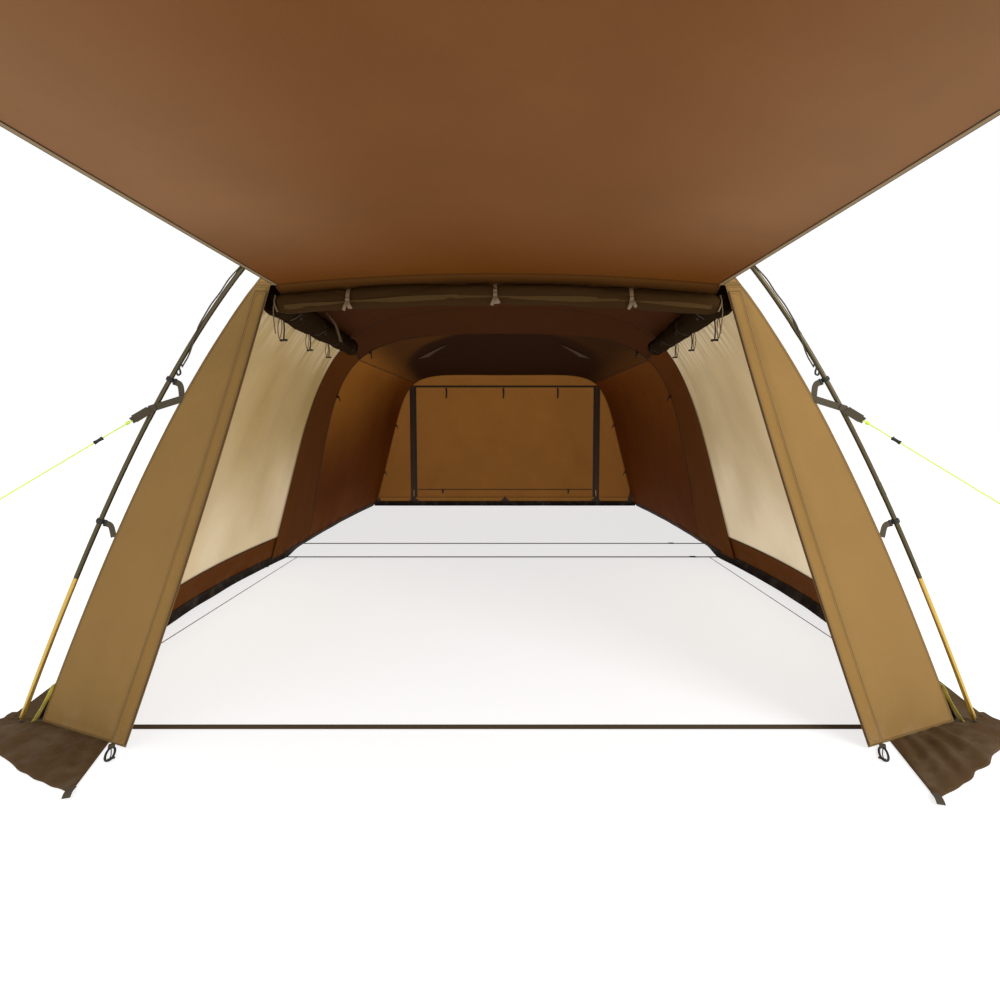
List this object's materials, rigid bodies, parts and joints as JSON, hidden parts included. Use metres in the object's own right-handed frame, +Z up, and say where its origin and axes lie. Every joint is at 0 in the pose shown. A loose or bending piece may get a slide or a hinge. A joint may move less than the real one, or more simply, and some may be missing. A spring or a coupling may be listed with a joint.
{
  "type": "two-room tunnel tent",
  "caption": "Large two-room tunnel tent with a raised front canopy, open front door, rolled mesh, side doors, pole arches, ground straps and guy lines.",
  "frame": {"origin": "on the ground, under the middle of the whole length from the canopy's hem to the rear ground skirt", "axes": "+Z up, +Y from the open front into the tent, +X to the right as seen from the front"},
  "size_m": [4.8032, 7.0669, 2.1685],
  "materials": {
    "brown_cloth": "matt woven polyester, brown",
    "tan_cloth": "matt woven polyester, tan",
    "cream_cloth": "thin translucent woven polyester, cream",
    "olive_cloth": "rolled mesh and cloth, dark olive brown",
    "black_cloth": "matt woven polyester, black brown",
    "dark_webbing": "woven webbing, dark olive",
    "yellow_webbing": "woven webbing, yellow",
    "dark_pole": "dark olive anodised tube",
    "gold_pole": "gold anodised tube",
    "lime_cord": "braided cord, fluorescent yellow green",
    "olive_cord": "braided cord, dark olive",
    "black_plastic": "black plastic",
    "zip_metal": "grey zip slider"
  },
  "bodies": {
    "tent": {"bedroom_roof": "brown_cloth", "bedroom_wall_left": "brown_cloth", "bedroom_wall_right": "brown_cloth", "bridge_roof": "brown_cloth", "corner_panel_left": "brown_cloth", "corner_panel_right": "brown_cloth", "corner_skirt_left": "black_cloth", "corner_skirt_right": "black_cloth", "foot_tab_left": "yellow_webbing", "foot_tab_right": "yellow_webbing", "front_arch_pole": "dark_pole", "front_gable": "tan_cloth", "front_leg_left": "gold_pole", "front_leg_right": "gold_pole", "front_strap": "dark_webbing", "front_wing_left": "tan_cloth", "front_wing_right": "tan_cloth", "guy_line_left": "lime_cord", "guy_line_right": "lime_cord", "guy_strap_left": "dark_webbing", "guy_strap_right": "dark_webbing", "living_roof": "brown_cloth", "mesh_header": "olive_cloth", "mesh_roll": "olive_cloth", "middle_arch_front": "dark_pole", "middle_arch_rear": "dark_pole", "middle_strap_front": "dark_webbing", "middle_strap_rear": "dark_webbing", "peg_hook_left": "black_plastic", "peg_hook_right": "black_plastic", "pillar_left": "brown_cloth", "pillar_right": "brown_cloth", "rear_arch": "dark_pole", "rear_gable": "brown_cloth", "rear_side_left": "brown_cloth", "rear_side_right": "brown_cloth", "rear_skirt": "black_cloth", "side_band_left": "brown_cloth", "side_band_right": "brown_cloth", "side_cord_left": "olive_cord", "side_cord_right": "olive_cord", "side_roll_left": "olive_cloth", "side_roll_right": "olive_cloth", "side_skirt_left": "black_cloth", "side_skirt_right": "black_cloth"},
    "canopy": {"canopy": "brown_cloth"},
    "rear_door": {"rear_door": "tan_cloth"},
    "canopy_pole_left": {"canopy_pole_left": "gold_pole"},
    "side_door_left": {"side_door_left": "cream_cloth"},
    "front_slider_left": {"front_slider_left": "zip_metal"},
    "rear_slider_left": {"rear_slider_left": "zip_metal"},
    "guy_runner_left": {"guy_runner_left": "black_plastic"},
    "canopy_pole_right": {"canopy_pole_right": "gold_pole"},
    "side_door_right": {"side_door_right": "cream_cloth"},
    "front_slider_right": {"front_slider_right": "zip_metal"},
    "rear_slider_right": {"rear_slider_right": "zip_metal"},
    "guy_runner_right": {"guy_runner_right": "black_plastic"},
    "strap_buckle_front": {"strap_buckle_front": "black_plastic"},
    "strap_buckle_rear": {"strap_buckle_rear": "black_plastic"}
  },
  "joints": [
    {"name": "canopy_hinge", "type": "hinge", "parent": "tent", "child": "canopy", "pos_m": [0, -1.9893, 1.56], "axis": [1, 0, 0], "range_deg": [0, 93.3]},
    {"name": "canopy_pole_fold_left", "type": "hinge", "parent": "canopy", "child": "canopy_pole_left", "pos_m": [-1.14222, -3.50373, 1.76157], "axis": [0, -1, 0], "range_deg": [0, 90]},
    {"name": "side_door_hinge_left", "type": "hinge", "parent": "tent", "child": "side_door_left", "pos_m": [-0.89837, -1.78635, 1.56947], "axis": [-0.14, 0.989, 0.0481], "range_deg": [0, 100]},
    {"name": "front_slider_run_left", "type": "slide", "parent": "tent", "child": "front_slider_left", "axis": [-0.2521, -0.1026, -0.9622], "range_m": [0, 1.476]},
    {"name": "rear_slider_run_left", "type": "slide", "parent": "tent", "child": "rear_slider_left", "axis": [0, -0.0725, 0.9974], "range_m": [0, 1.3]},
    {"name": "guy_runner_slide_left", "type": "slide", "parent": "tent", "child": "guy_runner_left", "axis": [-0.6009, -0.5577, -0.5726], "range_m": [-0.08, 0.5]},
    {"name": "canopy_pole_fold_right", "type": "hinge", "parent": "canopy", "child": "canopy_pole_right", "pos_m": [1.13574, -3.47904, 1.7578], "axis": [0, 1, 0], "range_deg": [0, 90]},
    {"name": "side_door_hinge_right", "type": "hinge", "parent": "tent", "child": "side_door_right", "pos_m": [0.89837, -1.78635, 1.56947], "axis": [-0.14, -0.989, -0.0481], "range_deg": [0, 100]},
    {"name": "front_slider_run_right", "type": "slide", "parent": "tent", "child": "front_slider_right", "axis": [0.2521, -0.1026, -0.9622], "range_m": [0, 1.476]},
    {"name": "rear_slider_run_right", "type": "slide", "parent": "tent", "child": "rear_slider_right", "axis": [0, -0.0725, 0.9974], "range_m": [0, 1.3]},
    {"name": "guy_runner_slide_right", "type": "slide", "parent": "tent", "child": "guy_runner_right", "axis": [0.6009, -0.5577, -0.5726], "range_m": [-0.08, 0.5]},
    {"name": "rear_door_hinge", "type": "hinge", "parent": "tent", "child": "rear_door", "pos_m": [0, 3.2554, 1.49955], "axis": [1, 0, 0], "range_deg": [0, 95]},
    {"name": "strap_buckle_slide_front", "type": "slide", "parent": "tent", "child": "strap_buckle_front", "axis": [1, 0, 0], "range_m": [-0.3, 0.1]},
    {"name": "strap_buckle_slide_rear", "type": "slide", "parent": "tent", "child": "strap_buckle_rear", "axis": [1, 0, 0], "range_m": [-0.3, 0.1]}
  ],
  "couplings": [
    {"joint": "canopy_pole_fold_left", "follows": "canopy_hinge", "ratio": 0.964},
    {"joint": "canopy_pole_fold_right", "follows": "canopy_hinge", "ratio": 0.964}
  ]
}
